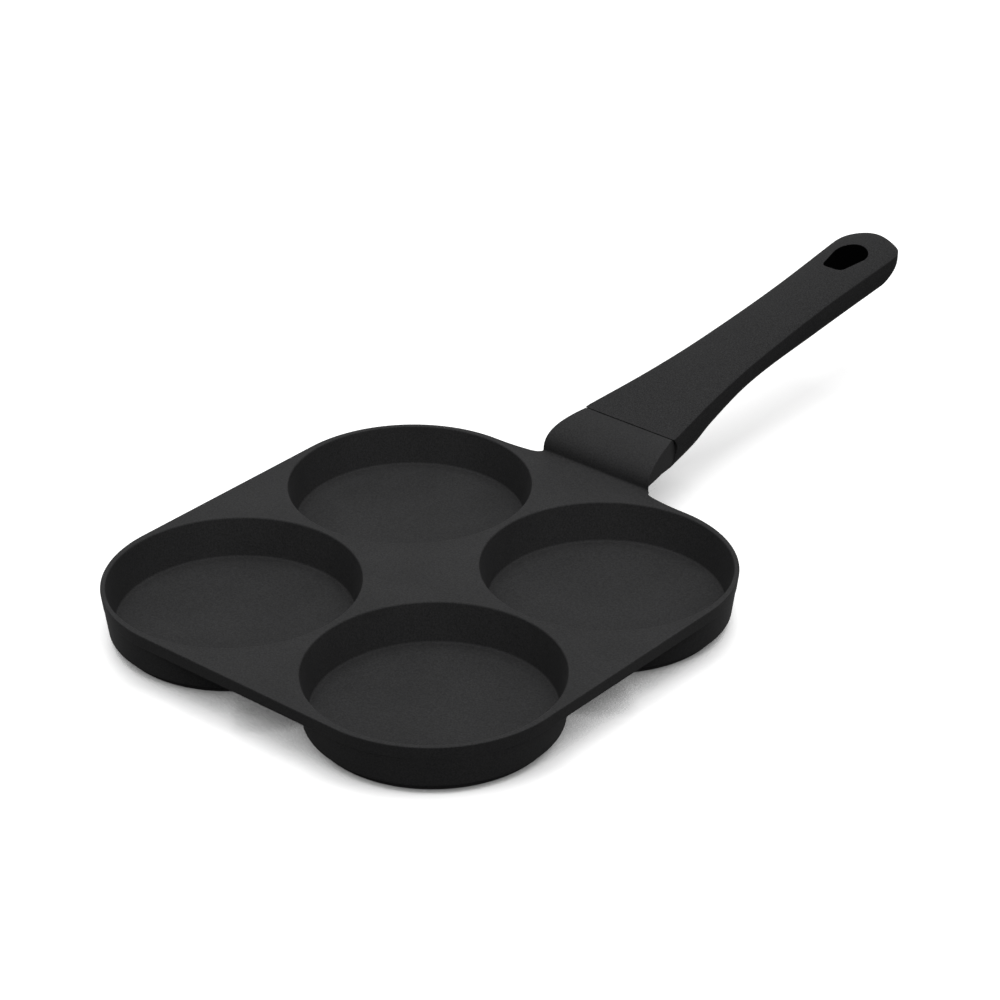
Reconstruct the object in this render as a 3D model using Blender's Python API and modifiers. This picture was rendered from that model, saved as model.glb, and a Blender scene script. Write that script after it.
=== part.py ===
"""Hamburger pan: a die-cast body with four cups, and a moulded handle screwed to its neck.

Written for Blender 4.5. Lengths are in metres, +Z is up, and the handle points along +Y.
The pan stands on Z = 0, and the origin lies under the middle of its overall length.
"""
import math

import bmesh
import bpy
from mathutils import Vector

# Cups. Depths are measured down from the flat top of the casting.
CUP_RADIUS = 0.0520          # inside, at the rim
CUP_DEPTH = 0.0172
CUP_BRIDGE = 0.0032          # metal left between two neighbouring rims
CUP_WALL = 0.0017
INNER_DRAFT_DEG = 9.9        # lean of the cooking side of the wall
OUTER_DRAFT_DEG = 7.3
CUP_FLOOR = 0.0055           # metal under the cooking surface
RIM_ROUND = 0.0008
FLOOR_FILLET = 0.0018
WALL_EDGE_ROUND = 0.0007     # lower edge of the outer wall
FOOT_INSET = 0.0031          # the foot stands back from the outer wall
FOOT_HEIGHT = 0.0030
FOOT_ROUND = 0.0005

# Steel discs under the cups, pressed in so that the hob holds them.
DISC_RADIUS = 0.0430
DISC_THICKNESS = 0.0008
DISC_PROUD = 0.0002          # how far they stand below the aluminium
DISC_CORNER = 0.0003

# The flat top that joins the cups.
DECK_THICKNESS = 0.0061
DECK_WEB = 0.0029            # rim to the straight edge of the deck
CORNER_LIP = 0.0051          # the deck's corner radius beyond the cup's
DECK_EDGE_ROUND = 0.0006

# Neck, cast in one with the deck.
NECK_SETBACK = 0.0045        # deck's edge to the crease where the neck rises
NECK_ROOT_WIDTH = 0.0578
NECK_END_WIDTH = 0.0475
NECK_LENGTH = 0.0226         # crease to the top of the seam
NECK_END_HEIGHT = 0.01365
NECK_KEEL_RISE = 0.0008      # underside of the neck above the deck's underside
NECK_SIDE_LOW = 0.0018       # lower edge of the neck's sides above the deck's top, at the seam
NECK_SIDE_ROOT = 0.0020      # the same at the root
KEEL_CHAMFER = 0.0075        # width taken off each side of the underside
FLARE_LENGTH = 0.0182        # along the deck's edge, from the corner arc to the root fillet
FLARE_HEIGHT = 0.0015
ROOT_FILLET = 0.0046
NOSE_RADIUS = 0.0072
NOSE_HEIGHT = 0.0077         # centre of the nose above the deck's top
NOSE_LOW_DEG = -78           # where the round of the nose ends underneath

# Tongue of the casting that the handle slides on.
TONGUE_LENGTH = 0.0340
TONGUE_WIDTH = 0.0240
TONGUE_THICKNESS = 0.0064
TONGUE_TAPER = 0.0015        # taken off its width at the end
TONGUE_CLEARANCE = 0.0003

# Handle. Distances run from the tip of the nose; widths are whole widths.
HANDLE_RISE_DEG = 6.6
HANDLE_LENGTH = 0.1856
SEAM_GAP = 0.0003
EDGE_HEIGHT = 0.0136         # widest level above the deck's top, at the tip of the nose
BLOCK_AT = 0.0205            # end of the deep block round the screw
SHOULDER_AT = 0.0332
MIDDLE_AT = 0.0665
WAIST_AT = 0.1200
TAIL_AT = 0.1710
FRONT_WIDTH = 0.0484
SHOULDER_WIDTH = 0.0389
MIDDLE_WIDTH = 0.0330
WAIST_WIDTH = 0.0300
TAIL_WIDTH = 0.0324
FRONT_DEPTH = 0.0208         # underside below the widest level
BLOCK_DEPTH = 0.0204
SHOULDER_DEPTH = 0.0174
MIDDLE_DEPTH = 0.0133
WAIST_DEPTH = 0.0151
TAIL_DEPTH = 0.0153
BLOCK_CROWN = 0.0014         # sweep of the top; it runs out to nothing at the nose
SHOULDER_CROWN = 0.0019
MIDDLE_CROWN = 0.0028
WAIST_CROWN = 0.0031
TAIL_CROWN = 0.0035
SIDE_ROUND = 0.00075         # height of the rounded edge between top and side
BELLY_POWER = 3.3            # superellipse exponents of the section
SIDE_POWER = 4.0
END_LEVEL = 0.18             # where the end comes to its tip, as a share of the depth
END_PLAN_POWER = 2.8         # how the end rounds off in plan, on top and underneath
END_TOP_POWER = 5.0
END_BELLY_POWER = 1.4

# Hang hole.
TAIL_WALL = 0.0149           # far side of the hole to the end of the handle
HOLE_LENGTH = 0.0240
HOLE_FAR_RADIUS = 0.0082
HOLE_NEAR_WIDTH = 0.0118
HOLE_NEAR_CORNER = 0.0039

# Handle screw and its washers, driven from below.
SCREW_AT = 0.0200            # along the tongue, from the nose's centre
SCREW_RADIUS = 0.0025
SCREW_LENGTH = 0.0120
SCREW_POINT = 0.0007         # chamfer at the end of the thread
HEAD_RADIUS = 0.0046
HEAD_HEIGHT = 0.0030
HEAD_CROWN = 0.0014          # domed part of the head
HEAD_FLAT = 0.0025           # radius of the flat on the dome
FLAT_WASHER_RADIUS = 0.0050
FLAT_WASHER_THICKNESS = 0.0010
SPRING_WASHER_RADIUS = 0.0045
SPRING_WASHER_THICKNESS = 0.0012
SPRING_WASHER_SLOT = 0.0008
SEAT_WALL = 0.0030           # moulding between the socket and the washer
CLEARANCE = 0.0003

# Facets.
CUP_STEPS = 64
DISC_STEPS = 48
SCREW_STEPS = 24
CORNER_POINTS = 16
FLARE_POINTS = 6
FILLET_POINTS = 5
ARCH_POINTS = 15
NOSE_POINTS = 12
ROUND_STEPS = 2              # across a small rounded edge
FILLET_STEPS = 3
SECTION_POINTS = 16          # in each half of a handle section
GRIP_STEPS = 26
END_STEPS = 11
END_TURN_DEG = 89            # how far the rounded end turns before it is closed
SHARP_EDGE_DEG = 35

# Worked out from the sizes above. Heights on the screw are in the handle's own frame.
INNER_DRAFT = math.tan(math.radians(INNER_DRAFT_DEG))
OUTER_DRAFT = math.tan(math.radians(OUTER_DRAFT_DEG))
RISE = math.radians(HANDLE_RISE_DEG)
OUTER_RADIUS = CUP_RADIUS + CUP_WALL
HALF_PITCH = CUP_RADIUS + CUP_BRIDGE / 2
DECK_HALF = HALF_PITCH + CUP_RADIUS + DECK_WEB
CORNER_RADIUS = CUP_RADIUS + CORNER_LIP
CORNER_CENTRE = DECK_HALF - CORNER_RADIUS
BODY_HEIGHT = CUP_DEPTH + CUP_FLOOR
DECK_TOP = BODY_HEIGHT + DISC_PROUD
CREASE_Y = DECK_HALF + NECK_SETBACK
SEAM_Y = CREASE_Y + NECK_LENGTH
NOSE_Y = SEAM_Y - math.sqrt(NOSE_RADIUS**2 - (NECK_END_HEIGHT - NOSE_HEIGHT)**2)
TIP_Y = NOSE_Y + NOSE_RADIUS
END_Y = TIP_Y + HANDLE_LENGTH
KEEL_Z = NECK_KEEL_RISE - DECK_THICKNESS
PAN_CENTRE_Y = -(END_Y - DECK_HALF) / 2
BORE_RADIUS = SCREW_RADIUS + CLEARANCE
SEAT_Z = -TONGUE_THICKNESS / 2 - TONGUE_CLEARANCE - SEAT_WALL
FLAT_TOP = SEAT_Z - CLEARANCE
FLAT_LOW = FLAT_TOP - FLAT_WASHER_THICKNESS
SPRING_TOP = FLAT_LOW - CLEARANCE
SPRING_LOW = SPRING_TOP - SPRING_WASHER_THICKNESS
HEAD_TOP = SPRING_LOW - CLEARANCE


def clear_scene():
    """Empty the scene that Blender opens with."""
    for old in list(bpy.data.objects):
        bpy.data.objects.remove(old, do_unlink=True)


def new_collection(name):
    collection = bpy.data.collections.new(name)
    bpy.context.scene.collection.children.link(collection)
    return collection


def material(name, colour, roughness, metallic):
    """A plain Principled finish."""
    finish = bpy.data.materials.new(name)
    finish.use_nodes = True
    shader = finish.node_tree.nodes["Principled BSDF"]
    shader.inputs["Base Color"].default_value = (*colour, 1.0)
    shader.inputs["Roughness"].default_value = roughness
    shader.inputs["Metallic"].default_value = metallic
    finish.diffuse_color = (*colour, 1.0)
    return finish


def frame_point(name, parent, location, tilt=0.0):
    """An empty that pieces are placed from."""
    point = bpy.data.objects.new(name, None)
    point.parent = parent
    point.location = location
    point.rotation_euler = (tilt, 0, 0)
    model.objects.link(point)
    return point


def arc(centre, radius, start_deg, end_deg, count):
    """Points on an arc, both ends included."""
    points = []
    for i in range(count + 1):
        angle = math.radians(start_deg + (end_deg - start_deg) * i / count)
        points.append((centre[0] + radius * math.cos(angle), centre[1] + radius * math.sin(angle)))
    return points


def bezier(start, start_handle, end_handle, end, count):
    """Points on a cubic curve, both ends included."""
    points = []
    for i in range(count + 1):
        t = i / count
        s = 1 - t
        points.append(tuple(
            s**3 * a + 3 * s * s * t * b + 3 * s * t * t * c + t**3 * d
            for a, b, c, d in zip(start, start_handle, end_handle, end)
        ))
    return points


def mirrored(points):
    """A right-hand outline followed by its mirror image, in one closed loop."""
    return points + [(-x, y) for x, y in reversed(points) if abs(x) > 1e-9]


def link(obj, collection, parent, finish=None):
    """Place an object; cutters are shown as wire and left out of renders."""
    collection.objects.link(obj)
    obj.parent = parent
    if finish is not None:
        obj.data.materials.append(finish)
    if collection is tools:
        obj.display_type = "WIRE"
        obj.hide_render = True
    return obj


def flat_solid(name, outline, thickness, parent):
    """A cutter: a flat outline in XY as a 2D curve, extruded evenly to both sides of Z = 0."""
    curve = bpy.data.curves.new(name, "CURVE")
    curve.dimensions = "2D"
    curve.fill_mode = "BOTH"
    curve.extrude = thickness / 2
    spline = curve.splines.new("POLY")
    spline.points.add(len(outline) - 1)
    for point, (x, y) in zip(spline.points, outline):
        point.co = (x, y, 0, 1)
    spline.use_cyclic_u = True
    source = bpy.data.objects.new(name + "_outline", curve)
    bpy.context.scene.collection.objects.link(source)
    depsgraph = bpy.context.evaluated_depsgraph_get()
    mesh = bpy.data.meshes.new_from_object(source.evaluated_get(depsgraph))
    bpy.data.objects.remove(source, do_unlink=True)
    welded = bmesh.new()
    welded.from_mesh(mesh)
    bmesh.ops.remove_doubles(welded, verts=welded.verts, dist=1e-6)
    bmesh.ops.recalc_face_normals(welded, faces=welded.faces)
    welded.to_mesh(mesh)
    welded.free()
    mesh.name = name
    return link(bpy.data.objects.new(name, mesh), tools, parent)


def side_solid(name, outline, width):
    """A cutter: an outline drawn in the pan's YZ plane, extruded evenly along X."""
    solid = flat_solid(name, outline, width, pan)
    solid.rotation_euler = (math.pi / 2, 0, math.pi / 2)
    return solid


def turned(name, profile, steps, collection, parent, finish=None, closed=False):
    """A profile of (radius, height) points turned round Z."""
    mesh = bpy.data.meshes.new(name)
    rows = [(radius, 0, height) for radius, height in profile]
    edges = [(i, i + 1) for i in range(len(rows) - 1)]
    if closed:
        edges.append((len(rows) - 1, 0))
    mesh.from_pydata(rows, edges, [])
    obj = link(bpy.data.objects.new(name, mesh), collection, parent, finish)
    screw = obj.modifiers.new("turn", "SCREW")
    screw.axis = "Z"
    screw.steps = steps
    screw.render_steps = steps
    screw.use_merge_vertices = True
    screw.merge_threshold = 0.00001
    screw.use_smooth_shade = True
    return obj


def loft(name, rings, collection, parent, finish=None):
    """A skin over rings of equal length, closed at both ends."""
    mesh = bpy.data.meshes.new(name)
    build = bmesh.new()
    rows = [[build.verts.new(point) for point in ring] for ring in rings]
    for near, far in zip(rows, rows[1:]):
        for i in range(len(near)):
            j = (i + 1) % len(near)
            build.faces.new((near[i], near[j], far[j], far[i]))
    build.faces.new(list(reversed(rows[0])))
    build.faces.new(rows[-1])
    bmesh.ops.recalc_face_normals(build, faces=build.faces)
    build.to_mesh(mesh)
    build.free()
    mesh.shade_smooth()
    mesh.set_sharp_from_angle(angle=math.radians(SHARP_EDGE_DEG))
    return link(bpy.data.objects.new(name, mesh), collection, parent, finish)


def boolean(target, operation, tool):
    """An exact Boolean, kept live on the target."""
    step = target.modifiers.new(operation.lower() + "_" + tool.name, "BOOLEAN")
    step.operation = operation
    step.object = tool
    step.solver = "EXACT"
    return step


def inset(outline, distance):
    """The counter-clockwise outline moved inwards by the same distance everywhere."""
    moved = []
    count = len(outline)
    for i in range(count):
        before = Vector(outline[i]) - Vector(outline[i - 1])
        after = Vector(outline[(i + 1) % count]) - Vector(outline[i])
        normal_before = Vector((-before.y, before.x)).normalized()
        normal_after = Vector((-after.y, after.x)).normalized()
        middle = (normal_before + normal_after).normalized()
        reach = distance / middle.dot(normal_before)
        moved.append((outline[i][0] + middle.x * reach, outline[i][1] + middle.y * reach))
    return moved


def through(stations, at):
    """Smooth curve through (place, value) stations, level before the first, read at one place."""
    places = [place for place, _ in stations]
    values = [value for _, value in stations]
    slopes = []
    for i in range(len(stations)):
        low, high = max(i - 1, 0), min(i + 1, len(stations) - 1)
        slopes.append((values[high] - values[low]) / (places[high] - places[low]))
    index = 0
    while index < len(stations) - 2 and at > places[index + 1]:
        index += 1
    span = places[index + 1] - places[index]
    t = (at - places[index]) / span
    if t < 0:
        return values[0]
    if t > 1:
        return values[-1] + slopes[-1] * (at - places[-1])
    return ((1 + 2 * t) * (1 - t)**2 * values[index] + t * (1 - t)**2 * span * slopes[index]
            + t * t * (3 - 2 * t) * values[index + 1] - t * t * (1 - t) * span * slopes[index + 1])


def cup_inside():
    """Profile of the space in a cup, with the rounded rim and the fillet at the floor."""
    lean_cos = math.cos(math.radians(INNER_DRAFT_DEG))
    rim_centre = (CUP_RADIUS - INNER_DRAFT * RIM_ROUND + RIM_ROUND / lean_cos, -RIM_ROUND)
    rim = arc(rim_centre, RIM_ROUND, 90, 180 - INNER_DRAFT_DEG, ROUND_STEPS)
    first, second = rim[0], rim[1]
    slope = (first[0] - second[0]) / (first[1] - second[1])
    mouth = (first[0] + slope * CLEARANCE, CLEARANCE)
    lid = 2 * CLEARANCE
    corner_z = FLOOR_FILLET - CUP_DEPTH
    corner = (CUP_RADIUS + INNER_DRAFT * corner_z - FLOOR_FILLET / lean_cos, corner_z)
    floor = arc(corner, FLOOR_FILLET, -INNER_DRAFT_DEG, -90, FILLET_STEPS)
    return [(0, lid), (mouth[0], lid), mouth] + rim[1:] + floor + [(0, -CUP_DEPTH)]


def cup_outside():
    """Profile of the cup's outer wall, its foot and the seat for the steel disc."""
    lean_cos = math.cos(math.radians(OUTER_DRAFT_DEG))
    top = -2 * DECK_EDGE_ROUND
    wall_z = FOOT_HEIGHT - BODY_HEIGHT
    edge_z = wall_z + WALL_EDGE_ROUND
    edge_centre = (OUTER_RADIUS + OUTER_DRAFT * edge_z - WALL_EDGE_ROUND / lean_cos, edge_z)
    edge = arc(edge_centre, WALL_EDGE_ROUND, -OUTER_DRAFT_DEG, -90, ROUND_STEPS)
    foot_radius = OUTER_RADIUS + OUTER_DRAFT * wall_z - FOOT_INSET
    foot_centre = (foot_radius - FOOT_ROUND, FOOT_ROUND - BODY_HEIGHT)
    foot = [(foot_radius, wall_z)] + arc(foot_centre, FOOT_ROUND, 0, -90, ROUND_STEPS)
    seat_radius = DISC_RADIUS + CLEARANCE
    seat_top = -BODY_HEIGHT + DISC_THICKNESS - DISC_PROUD + CLEARANCE
    seat = [(seat_radius, -BODY_HEIGHT), (seat_radius, seat_top), (0, seat_top)]
    return [(0, top), (OUTER_RADIUS + OUTER_DRAFT * top, top)] + edge + foot + seat


def deck_outline():
    """Rounded square whose handle side flares out into the root of the neck."""
    corner = CORNER_CENTRE
    half_root = NECK_ROOT_WIDTH / 2
    lower = arc((corner, -corner), CORNER_RADIUS, -90, 0, CORNER_POINTS)
    upper = arc((corner, corner), CORNER_RADIUS, 0, 90, CORNER_POINTS)
    meet = (half_root + ROOT_FILLET, DECK_HALF + FLARE_HEIGHT)
    leave = (corner - FLARE_LENGTH * 0.40, DECK_HALF)
    arrive = (meet[0] + FLARE_LENGTH * 0.25, DECK_HALF + FLARE_HEIGHT * 0.45)
    flare = bezier((corner, DECK_HALF), leave, arrive, meet, FLARE_POINTS)
    root = (half_root, CREASE_Y + CLEARANCE)
    turn_in = (meet[0] - ROOT_FILLET * 0.55, meet[1] + FLARE_HEIGHT * 0.40)
    turn_out = (root[0] + ROOT_FILLET * 0.15, root[1] - ROOT_FILLET * 0.50)
    fillet = bezier(meet, turn_in, turn_out, root, FILLET_POINTS)
    return mirrored(lower + upper + flare[1:] + fillet[1:])


def deck_rings():
    """The deck's outline at each level of its edge: rounded on top, then drafted."""
    outline = deck_outline()
    start = DECK_EDGE_ROUND
    levels = [(start - x, z - start) for x, z in arc((0, 0), start, 90, 0, ROUND_STEPS)]
    levels.append((OUTER_DRAFT * (DECK_THICKNESS - start), -DECK_THICKNESS))
    return [[(x, y, z) for x, y in inset(outline, distance)] for distance, z in levels]


def nose_curve(gap):
    """Side view of the seam between neck and handle, from the top down, as (y, z)."""
    top = math.degrees(math.asin((NECK_END_HEIGHT - NOSE_HEIGHT) / NOSE_RADIUS))
    return arc((NOSE_Y, NOSE_HEIGHT), NOSE_RADIUS + gap, top, NOSE_LOW_DEG, NOSE_POINTS)


def neck_side_view():
    """Outline of the neck in the YZ plane, with its root sunk in the deck."""
    hidden_z = -DECK_THICKNESS / 4
    hidden_y = CREASE_Y - NECK_SETBACK / 2
    lead = NECK_LENGTH * 0.60
    leave = (CREASE_Y, NECK_END_HEIGHT * 0.70)
    arrive = (SEAM_Y - lead, NECK_END_HEIGHT - lead * math.tan(RISE))
    arch = bezier((CREASE_Y, 0), leave, arrive, (SEAM_Y, NECK_END_HEIGHT), ARCH_POINTS)
    root = [(hidden_y, KEEL_Z), (hidden_y, hidden_z), (CREASE_Y, hidden_z)]
    return root + arch + nose_curve(0)[1:] + [(NOSE_Y, KEEL_Z)]


def neck_top_view():
    """Outline of the neck in plan: it narrows towards the handle."""
    half_root = NECK_ROOT_WIDTH / 2 - CLEARANCE / 3
    half_end = NECK_END_WIDTH / 2
    narrowing = half_root - half_end
    leave = (half_root - narrowing * 0.30, CREASE_Y + NECK_LENGTH * 0.20)
    arrive = (half_end + narrowing * 0.40, SEAM_Y - NECK_LENGTH * 0.35)
    side = bezier((half_root, CREASE_Y + CLEARANCE), leave, arrive, (half_end, SEAM_Y), 8)
    end_slope = (side[-1][0] - side[-2][0]) / (side[-1][1] - side[-2][1])
    end = TIP_Y + CLEARANCE
    tip = (half_end + end_slope * (end - SEAM_Y), end)
    return mirrored([(half_root, CREASE_Y - NECK_SETBACK)] + side + [tip])


def keel_cutter(side):
    """A block that chamfers the underside of the neck along one side (+1 or -1)."""
    root = Vector((side * NECK_ROOT_WIDTH / 2, CREASE_Y, NECK_SIDE_ROOT))
    end = Vector((side * NECK_END_WIDTH / 2, TIP_Y, NECK_SIDE_LOW))
    keel = Vector((side * (NECK_END_WIDTH / 2 - KEEL_CHAMFER), TIP_Y, KEEL_Z))
    along = (end - root).normalized()
    across = (keel - end) - along * (keel - end).dot(along)
    across.normalize()
    outward = along.cross(across)
    if outward.z > 0:
        outward.negate()
    reach = NECK_LENGTH * 2
    middle = (root + end) / 2
    ring = []
    for a, b in ((-1, -1), (1, -1), (1, 1), (-1, 1)):
        ring.append(middle + along * a * reach + across * b * reach)
    name = "keel_chamfer_right" if side > 0 else "keel_chamfer_left"
    return loft(name, [ring, [corner + outward * reach for corner in ring]], tools, pan)


def tongue(name, grow, length):
    """The tongue in the handle's own frame, or with grow above 0 the socket for it."""
    half_height = TONGUE_THICKNESS / 2 + grow
    rings = []
    for along, taper in ((-NOSE_RADIUS / 2, 0), (length, TONGUE_TAPER)):
        half_width = (TONGUE_WIDTH - taper) / 2 + grow
        rings.append([
            (-half_width, along, -half_height), (half_width, along, -half_height),
            (half_width, along, half_height), (-half_width, along, half_height),
        ])
    return loft(name, rings, tools, handle_axis)


def drilled(name, radius, low, high):
    """A round cutter on the screw's axis, between two heights in the handle's frame."""
    profile = [(0, high), (radius, high), (radius, low), (0, low)]
    return turned(name, profile, SCREW_STEPS, tools, screw_axis)


def make_body(corners):
    """The casting: deck, neck, tongue and cups joined, then the space in each cup cut out."""
    coating = material("non_stick_coating", (0.040, 0.040, 0.041), 0.62, 0.0)
    body = loft("pan_body", deck_rings(), model, pan, coating)
    neck = side_solid("neck", neck_side_view(), 2 * NECK_ROOT_WIDTH)
    plan = flat_solid("neck_plan", neck_top_view(), 8 * NECK_END_HEIGHT, pan)
    boolean(neck, "INTERSECT", plan)
    boolean(neck, "DIFFERENCE", keel_cutter(1))
    boolean(neck, "DIFFERENCE", keel_cutter(-1))
    boolean(neck, "UNION", tongue("tongue", 0, TONGUE_LENGTH))
    boolean(body, "UNION", neck)
    for place, (x, y) in corners.items():
        cup = turned("cup_" + place, cup_outside(), CUP_STEPS, tools, pan)
        cup.location = (x, y, 0)
        boolean(body, "UNION", cup)
    for place, (x, y) in corners.items():
        space = turned("cup_space_" + place, cup_inside(), CUP_STEPS, tools, pan)
        space.location = (x, y, 0)
        boolean(body, "DIFFERENCE", space)
    thread_hole = drilled("tapped_hole", BORE_RADIUS, -TONGUE_THICKNESS, TONGUE_THICKNESS)
    boolean(body, "DIFFERENCE", thread_hole)


def make_discs(corners):
    """Steel discs under the cups."""
    steel = material("disc_steel", (0.55, 0.55, 0.54), 0.38, 1.0)
    face = -BODY_HEIGHT - DISC_PROUD
    top = face + DISC_THICKNESS
    profile = [
        (0, top), (DISC_RADIUS, top), (DISC_RADIUS, face + DISC_CORNER),
        (DISC_RADIUS - DISC_CORNER, face), (0, face),
    ]
    for place, (x, y) in corners.items():
        disc = turned("induction_disc_" + place, profile, DISC_STEPS, model, pan, steel)
        disc.location = (x, y, 0)


def handle_section(along, width_left, top_left, belly_left):
    """One ring of the handle: a crowned top with rounded side edges, and a full belly below."""
    half_width = through((
        (0, FRONT_WIDTH / 2), (SHOULDER_AT, SHOULDER_WIDTH / 2), (MIDDLE_AT, MIDDLE_WIDTH / 2),
        (WAIST_AT, WAIST_WIDTH / 2), (TAIL_AT, TAIL_WIDTH / 2),
    ), along)
    depth = through((
        (0, FRONT_DEPTH), (BLOCK_AT, BLOCK_DEPTH), (SHOULDER_AT, SHOULDER_DEPTH),
        (MIDDLE_AT, MIDDLE_DEPTH), (WAIST_AT, WAIST_DEPTH), (TAIL_AT, TAIL_DEPTH),
    ), along)
    crown = through((
        (0, 0), (BLOCK_AT, BLOCK_CROWN), (SHOULDER_AT, SHOULDER_CROWN),
        (MIDDLE_AT, MIDDLE_CROWN), (WAIST_AT, WAIST_CROWN), (TAIL_AT, TAIL_CROWN),
    ), along)
    edge = EDGE_HEIGHT + math.tan(RISE) * along
    below = depth * END_LEVEL
    ring = []
    for i in range(2 * SECTION_POINTS):
        angle = math.pi * i / SECTION_POINTS
        x = math.cos(angle)
        if i < SECTION_POINTS:
            flat = (1 - abs(x)**SIDE_POWER)**(1 / SIDE_POWER)
            level = (below + flat * SIDE_ROUND + (1 - x * x) * crown) * top_left
        else:
            x = math.copysign(abs(x)**(2 / BELLY_POWER), x)
            level = below - abs(math.sin(angle))**(2 / BELLY_POWER) * depth
            level *= top_left if level > 0 else belly_left
        ring.append((x * half_width * width_left, TIP_Y + along, edge - below + level))
    return ring


def handle_rings():
    """Sections from inside the neck to the rounded end of the handle."""
    tail = TAIL_WIDTH / 2
    start = -2 * NOSE_RADIUS
    straight = HANDLE_LENGTH - tail
    rings = []
    for i in range(GRIP_STEPS):
        rings.append(handle_section(start + (straight - start) * i / GRIP_STEPS, 1, 1, 1))
    last = math.radians(END_TURN_DEG)
    for i in range(END_STEPS + 1):
        reach = math.sin(last * i / END_STEPS)
        left = [(1 - reach**power)**(1 / power)
                for power in (END_PLAN_POWER, END_TOP_POWER, END_BELLY_POWER)]
        rings.append(handle_section(straight + tail * reach / math.sin(last), *left))
    return rings


def seam_cutter():
    """Everything on the pan's side of the seam, with the gap that shows there."""
    nose = nose_curve(SEAM_GAP)
    above = EDGE_HEIGHT * 3
    below = KEEL_Z * 4
    back = NOSE_Y - 4 * NOSE_RADIUS
    outline = [(back, below), (back, above), (nose[0][0], above)] + nose
    return side_solid("seam_cut", outline + [(NOSE_Y + SEAM_GAP, below)], FRONT_WIDTH * 2)


def hang_hole_cutter():
    """A hole with a round far end, drawn in to a blunter near end, square to the handle."""
    far = (0, HOLE_LENGTH - HOLE_FAR_RADIUS)
    near = (HOLE_NEAR_WIDTH / 2 - HOLE_NEAR_CORNER, HOLE_NEAR_CORNER)
    run = Vector((near[0] - far[0], near[1] - far[1]))
    turn = math.acos((HOLE_FAR_RADIUS - HOLE_NEAR_CORNER) / run.length)
    tangent = math.degrees(math.atan2(run.y, run.x) + turn)
    outline = arc(near, HOLE_NEAR_CORNER, -90, tangent, 4) + arc(far, HOLE_FAR_RADIUS, tangent, 90, 8)
    hole = flat_solid("hang_hole", mirrored(outline), 6 * TAIL_DEPTH, handle_axis)
    tip_z = EDGE_HEIGHT + math.tan(RISE) * HANDLE_LENGTH - TAIL_DEPTH * END_LEVEL - NOSE_HEIGHT
    end_along = (END_Y - NOSE_Y) * math.cos(RISE) + tip_z * math.sin(RISE)
    hole.location = (0, end_along - TAIL_WALL - HOLE_LENGTH, 0)
    return hole


def make_grip():
    """The moulded grip, cut by the seam, the socket, the hang hole and the screw's seat."""
    moulding = material("soft_touch_moulding", (0.036, 0.036, 0.037), 0.72, 0.0)
    grip = loft("handle_grip", handle_rings(), model, pan, moulding)
    boolean(grip, "DIFFERENCE", seam_cutter())
    socket = tongue("socket", TONGUE_CLEARANCE, TONGUE_LENGTH + TONGUE_CLEARANCE)
    boolean(grip, "DIFFERENCE", socket)
    boolean(grip, "DIFFERENCE", hang_hole_cutter())
    boolean(grip, "DIFFERENCE", drilled("screw_way", BORE_RADIUS, SEAT_Z - CLEARANCE, 0))
    recess = FLAT_WASHER_RADIUS + CLEARANCE
    boolean(grip, "DIFFERENCE", drilled("screw_recess", recess, SEAT_Z - FRONT_DEPTH, SEAT_Z))


def make_flat_washer(zinc):
    """Flat washer against the moulding."""
    turned("flat_washer", [
        (BORE_RADIUS, FLAT_TOP), (FLAT_WASHER_RADIUS, FLAT_TOP),
        (FLAT_WASHER_RADIUS, FLAT_LOW), (BORE_RADIUS, FLAT_LOW),
    ], SCREW_STEPS, model, screw_axis, zinc, closed=True)


def make_spring_washer(zinc):
    """Split washer under the screw's head; the split leans along the ring."""
    ring = turned("spring_washer", [
        (BORE_RADIUS, SPRING_TOP), (SPRING_WASHER_RADIUS, SPRING_TOP),
        (SPRING_WASHER_RADIUS, SPRING_LOW), (BORE_RADIUS, SPRING_LOW),
    ], SCREW_STEPS, model, screw_axis, zinc, closed=True)
    near = BORE_RADIUS / 2
    far = SPRING_WASHER_RADIUS * 1.5
    half = SPRING_WASHER_SLOT / 2
    rings = []
    for lean, height in ((half, SPRING_TOP + CLEARANCE), (-half, SPRING_LOW - CLEARANCE)):
        rings.append([
            (near, lean - half, height), (far, lean - half, height),
            (far, lean + half, height), (near, lean + half, height),
        ])
    boolean(ring, "DIFFERENCE", loft("spring_washer_slot", rings, tools, screw_axis))


def make_screw(zinc):
    """Pan-head screw, head down."""
    end = HEAD_TOP + SCREW_LENGTH
    face = HEAD_TOP - HEAD_HEIGHT
    shoulder = face + HEAD_CROWN
    turned("handle_screw", [
        (0, end), (SCREW_RADIUS - SCREW_POINT, end), (SCREW_RADIUS, end - SCREW_POINT),
        (SCREW_RADIUS, HEAD_TOP), (HEAD_RADIUS, HEAD_TOP), (HEAD_RADIUS, shoulder),
        ((HEAD_RADIUS * 2 + HEAD_FLAT) / 3, face + HEAD_CROWN / 3), (HEAD_FLAT, face), (0, face),
    ], SCREW_STEPS, model, screw_axis, zinc)


clear_scene()
model = new_collection("hamburger_pan")
tools = new_collection("construction")
pan = frame_point("pan_origin", None, (0, PAN_CENTRE_Y, DECK_TOP))
handle_axis = frame_point("handle_axis", pan, (0, NOSE_Y, NOSE_HEIGHT), RISE)
screw_axis = frame_point("screw_axis", handle_axis, (0, SCREW_AT, 0))
cup_places = {
    "rear_left": (-HALF_PITCH, HALF_PITCH),
    "rear_right": (HALF_PITCH, HALF_PITCH),
    "front_left": (-HALF_PITCH, -HALF_PITCH),
    "front_right": (HALF_PITCH, -HALF_PITCH),
}
make_body(cup_places)
make_discs(cup_places)
make_grip()
zinc_plate = material("zinc_plated_steel", (0.62, 0.63, 0.64), 0.35, 1.0)
make_flat_washer(zinc_plate)
make_spring_washer(zinc_plate)
make_screw(zinc_plate)
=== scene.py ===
import math

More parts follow.
